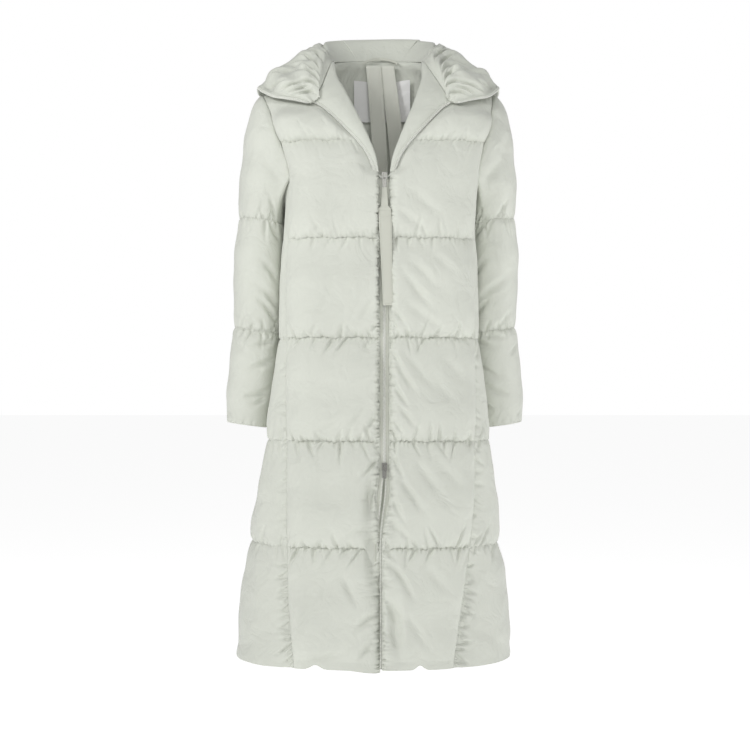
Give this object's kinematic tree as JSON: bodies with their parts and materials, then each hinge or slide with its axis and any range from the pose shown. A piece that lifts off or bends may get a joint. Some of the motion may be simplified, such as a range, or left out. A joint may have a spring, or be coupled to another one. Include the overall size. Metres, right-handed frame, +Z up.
{
  "type": "long puffer coat",
  "caption": "Long hooded quilted down coat in its worn hollow form, partly zipped, with its hood lying on the back.",
  "frame": {"origin": "middle of the neck opening at the height of the seam at the back of the neck, where the wearer's shoulders hold the coat", "axes": "+Z up along the wearer, -Y to the front where the zip is, +X to the wearer's left"},
  "size_m": [0.5529, 0.3923, 1.1544],
  "materials": {
    "shell": "matte fine woven nylon over down filling",
    "lining": "smooth light woven facing, soft sheen",
    "zip_tape": "woven tape with moulded teeth",
    "ribbon": "flat woven tape, matte",
    "metal": "satin plated zinc",
    "label": "white satin weave, blank"
  },
  "bodies": {
    "coat": {"front_panel_r": "shell", "front_panel_l": "shell", "side_panel_r": "shell", "side_panel_l": "shell", "back_panel": "shell", "sleeve_r": "shell", "sleeve_l": "shell", "lapel_r": "lining", "lapel_l": "lining", "hood_side_r": "lining", "hood_side_l": "lining", "hood_centre": "lining", "zip_tape_r": "zip_tape", "zip_tape_l": "zip_tape", "upper_slider": "metal", "upper_pull": "metal", "pull_ribbon": "ribbon", "lower_slider": "metal", "hanger_loop": "ribbon", "neck_label": "label", "inner_strap_r": "ribbon", "inner_strap_l": "ribbon"},
    "lower_pull_tab": {"lower_pull": "metal"}
  },
  "joints": [
    {"name": "lower_pull_swing", "type": "hinge", "parent": "coat", "child": "lower_pull_tab", "pos_m": [0.011, -0.15354, -0.75995], "axis": [-1, 0, 0], "range_deg": [0, 130]}
  ]
}
